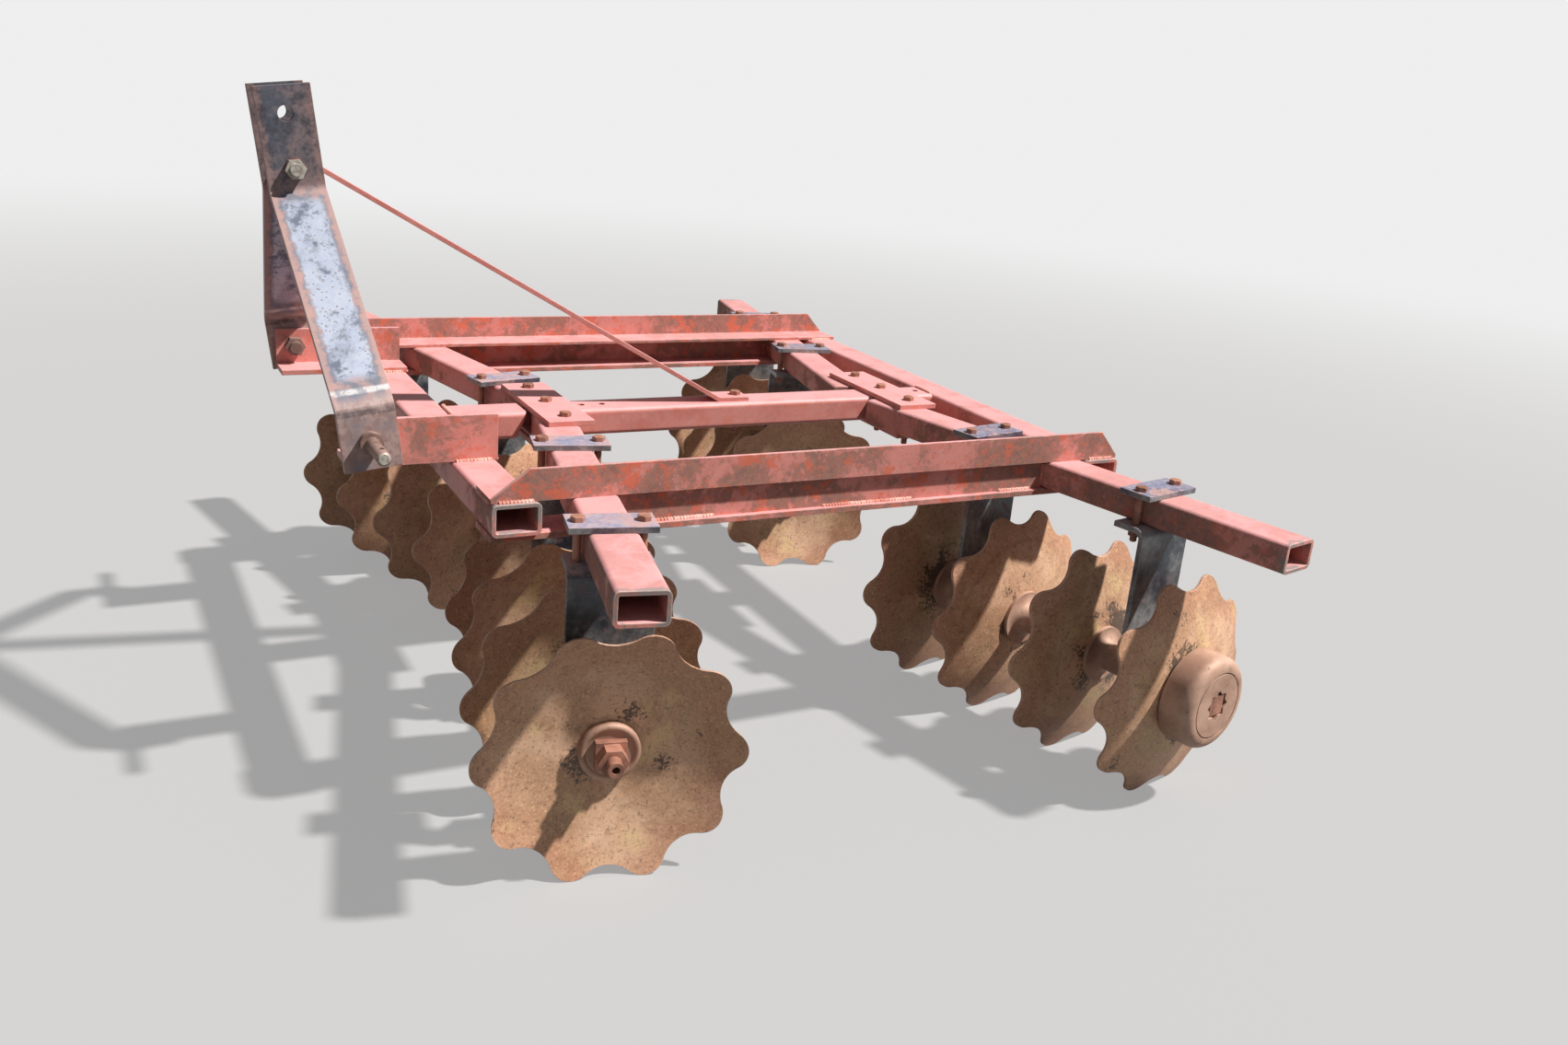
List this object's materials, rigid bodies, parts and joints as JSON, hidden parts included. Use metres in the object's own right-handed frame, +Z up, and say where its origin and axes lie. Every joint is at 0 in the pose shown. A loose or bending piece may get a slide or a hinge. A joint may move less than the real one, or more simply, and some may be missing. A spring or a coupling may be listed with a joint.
{
  "type": "disc harrow",
  "caption": "Tandem disc harrow for a tractor's three-point hitch, with notched dished discs turning in gangs under a tube and angle-iron frame.",
  "frame": {"origin": "on the ground, under the middle of the harrow's box", "axes": "+X forward to the tractor, +Y to the harrow's left, +Z up"},
  "size_m": [1.5659, 2.0978, 1.074],
  "materials": {
    "red_paint": "faded and rusting red paint",
    "black_plate": "worn black paint",
    "black_casting": "greasy black casting",
    "disc_steel": "rusted, scoured by soil",
    "rusty_casting": "rusty casting",
    "rusty_steel": "rusty forged steel",
    "mast_plate": "bare mill scale with rusty edges"
  },
  "bodies": {
    "frame": {"front_cross_tube": "red_paint", "rear_cross_tube": "red_paint", "left_rail_angle": "red_paint", "right_rail_angle": "red_paint", "left_rail_flat": "red_paint", "right_rail_flat": "red_paint", "left_rail_web": "red_paint", "right_rail_web": "red_paint", "centre_tube": "red_paint", "front_stub_tube": "red_paint", "rear_tab": "red_paint", "front_left_gang_tube": "red_paint", "front_right_gang_tube": "red_paint", "rear_left_gang_tube": "red_paint", "rear_right_gang_tube": "red_paint", "front_joint_plates": "red_paint", "rear_joint_plates": "red_paint", "front_left_clamps": "black_plate", "front_right_clamps": "black_plate", "rear_left_clamps": "black_plate", "rear_right_clamps": "black_plate", "front_left_hangers": "black_plate", "front_right_hangers": "black_plate", "rear_left_hangers": "black_plate", "rear_right_hangers": "black_plate", "front_left_bearings": "black_casting", "front_right_bearings": "black_casting", "rear_left_bearings": "black_casting", "rear_right_bearings": "black_casting", "left_hitch_bracket": "red_paint", "right_hitch_bracket": "red_paint", "left_mast_bar": "mast_plate", "right_mast_bar": "mast_plate", "mast_bolt": "rusty_steel", "left_lower_pin": "rusty_steel", "right_lower_pin": "rusty_steel", "mast_brace": "red_paint"},
    "front_left_gang": {"front_left_discs": "disc_steel", "front_left_spools": "rusty_casting", "front_left_axle": "rusty_steel"},
    "front_right_gang": {"front_right_discs": "disc_steel", "front_right_spools": "rusty_casting", "front_right_axle": "rusty_steel"},
    "rear_left_gang": {"rear_left_discs": "disc_steel", "rear_left_spools": "rusty_casting", "rear_left_axle": "rusty_steel"},
    "rear_right_gang": {"rear_right_discs": "disc_steel", "rear_right_spools": "rusty_casting", "rear_right_axle": "rusty_steel"}
  },
  "joints": [
    {"name": "front_left_gang_spin", "type": "hinge", "parent": "frame", "child": "front_left_gang", "pos_m": [0.36404, 0.47682, 0.19492], "axis": [0.1959, 0.9806, 0], "continuous": true},
    {"name": "front_right_gang_spin", "type": "hinge", "parent": "frame", "child": "front_right_gang", "pos_m": [0.34739, -0.39347, 0.19492], "axis": [-0.1959, 0.9806, 0], "continuous": true},
    {"name": "rear_left_gang_spin", "type": "hinge", "parent": "frame", "child": "rear_left_gang", "pos_m": [-0.53519, 0.61558, 0.19492], "axis": [-0.1959, 0.9806, 0], "continuous": true},
    {"name": "rear_right_gang_spin", "type": "hinge", "parent": "frame", "child": "rear_right_gang", "pos_m": [-0.53519, -0.61558, 0.19492], "axis": [0.1959, 0.9806, 0], "continuous": true}
  ]
}
